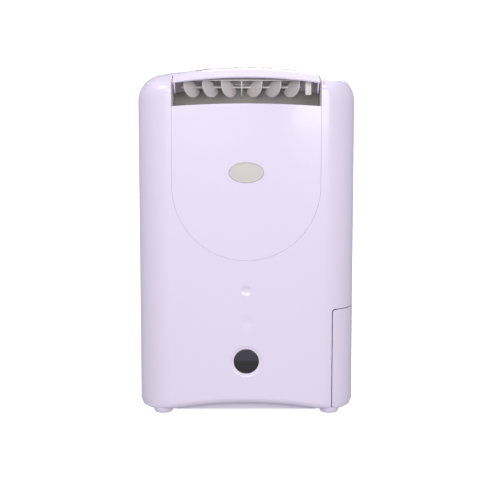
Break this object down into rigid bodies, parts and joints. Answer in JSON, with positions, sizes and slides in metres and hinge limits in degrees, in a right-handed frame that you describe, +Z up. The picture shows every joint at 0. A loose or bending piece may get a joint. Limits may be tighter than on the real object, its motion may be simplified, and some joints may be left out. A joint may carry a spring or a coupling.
{
  "type": "dehumidifier",
  "caption": "Compact desiccant dehumidifier in pale lilac white, with a swinging top louvre, side-drawn water tank, round window, oval blank badge and folding carry handle",
  "frame": {"origin": "bottom centre of the bounding box", "axes": "+Z up, front faces -Y, +X to the viewer's right when facing the front"},
  "size_m": [0.3, 0.1888, 0.4802],
  "materials": {
    "casing": "satin-gloss moulded ABS, pale lilac white",
    "duct": "matt grey plastic",
    "dark_lens": "smoked gloss plastic",
    "indicator": "translucent lens",
    "badge": "satin anodised",
    "clear_tank": "translucent plastic",
    "condenser": "moulded tube plate",
    "inner_plastic": "matt",
    "desiccant": "porous coated paper",
    "steel": "plain",
    "board": "lacquered",
    "rubber": "matt"
  },
  "bodies": {
    "casing_body": {"front_casing": "casing", "front_fascia": "casing", "rear_casing": "casing", "foot_front_left": "casing", "foot_front_right": "casing", "foot_rear_left": "casing", "foot_rear_right": "casing", "outlet_duct": "duct", "window_lens": "dark_lens", "control_panel": "dark_lens", "indicator_lens": "indicator", "badge_plate": "badge", "condenser": "condenser", "base_tray": "inner_plastic", "drip_tray": "inner_plastic", "rotor_plate": "inner_plastic", "fan_scroll": "inner_plastic", "louvre_motor": "inner_plastic", "board_cover": "inner_plastic", "humidity_sensor": "inner_plastic", "handle_pin_left": "steel", "handle_pin_right": "steel", "rotor_axle": "steel", "rotor_motor": "steel", "heater_box": "steel", "regen_housing": "steel", "regen_motor": "steel", "fan_motor": "steel", "casing_screw_1": "steel", "casing_screw_2": "steel", "casing_screw_3": "steel", "casing_screw_4": "steel", "control_board": "board", "power_board": "board", "cable_gland": "rubber"},
    "louvre_body": {"louvre": "casing", "vane_grille": "duct"},
    "handle_body": {"carry_handle": "casing"},
    "tank_body": {"water_tank": "clear_tank", "tank_lid": "inner_plastic", "tank_cover": "casing"},
    "float_body": {"tank_float": "inner_plastic"},
    "filter_body": {"filter_frame": "casing", "filter_mesh": "inner_plastic"},
    "fan_body": {"fan_wheel": "inner_plastic"},
    "regen_body": {"regen_wheel": "steel"},
    "rotor_body": {"rotor_ring": "inner_plastic", "rotor_media": "desiccant"},
    "pinion_body": {"rotor_pinion": "inner_plastic"},
    "button_1_body": {"button_1": "casing"},
    "button_2_body": {"button_2": "casing"},
    "button_3_body": {"button_3": "casing"},
    "button_4_body": {"button_4": "casing"},
    "button_5_body": {"button_5": "casing"}
  },
  "joints": [
    {"name": "louvre_swing", "type": "hinge", "parent": "casing_body", "child": "louvre_body", "pos_m": [0, -0.06311, 0.457], "axis": [1, 0, 0], "range_deg": [0, 64]},
    {"name": "handle_fold", "type": "hinge", "parent": "casing_body", "child": "handle_body", "pos_m": [0, -0.01961, 0.4684], "axis": [1, 0, 0], "range_deg": [0, 90]},
    {"name": "tank_slide", "type": "slide", "parent": "casing_body", "child": "tank_body", "axis": [1, 0, 0], "range_m": [0, 0.28]},
    {"name": "float_rise", "type": "slide", "parent": "tank_body", "child": "float_body", "axis": [0, 0, 1], "range_m": [0, 0.055]},
    {"name": "filter_pull", "type": "slide", "parent": "casing_body", "child": "filter_body", "axis": [0, 1, 0], "range_m": [0, 0.06]},
    {"name": "fan_spin", "type": "hinge", "parent": "casing_body", "child": "fan_body", "pos_m": [0, -0.03861, 0.272], "axis": [0, 1, 0], "continuous": true},
    {"name": "regen_spin", "type": "hinge", "parent": "casing_body", "child": "regen_body", "pos_m": [-0.086, 0.00039, 0.203], "axis": [0, 1, 0], "continuous": true},
    {"name": "rotor_spin", "type": "hinge", "parent": "casing_body", "child": "rotor_body", "pos_m": [0, 0.02639, 0.3], "axis": [0, 1, 0], "continuous": true},
    {"name": "pinion_spin", "type": "hinge", "parent": "casing_body", "child": "pinion_body", "pos_m": [0.08665, 0.02639, 0.2199], "axis": [0, 1, 0], "continuous": true},
    {"name": "button_1_press", "type": "slide", "parent": "casing_body", "child": "button_1_body", "axis": [0, 0, -1], "range_m": [0, 0.001], "stiffness_N_per_m": 300},
    {"name": "button_2_press", "type": "slide", "parent": "casing_body", "child": "button_2_body", "axis": [0, 0, -1], "range_m": [0, 0.001], "stiffness_N_per_m": 300},
    {"name": "button_3_press", "type": "slide", "parent": "casing_body", "child": "button_3_body", "axis": [0, 0, -1], "range_m": [0, 0.001], "stiffness_N_per_m": 300},
    {"name": "button_4_press", "type": "slide", "parent": "casing_body", "child": "button_4_body", "axis": [0, 0, -1], "range_m": [0, 0.001], "stiffness_N_per_m": 300},
    {"name": "button_5_press", "type": "slide", "parent": "casing_body", "child": "button_5_body", "axis": [0, 0, -1], "range_m": [0, 0.001], "stiffness_N_per_m": 300}
  ],
  "couplings": [
    {"joint": "pinion_spin", "follows": "rotor_spin", "ratio": -5.7143}
  ]
}
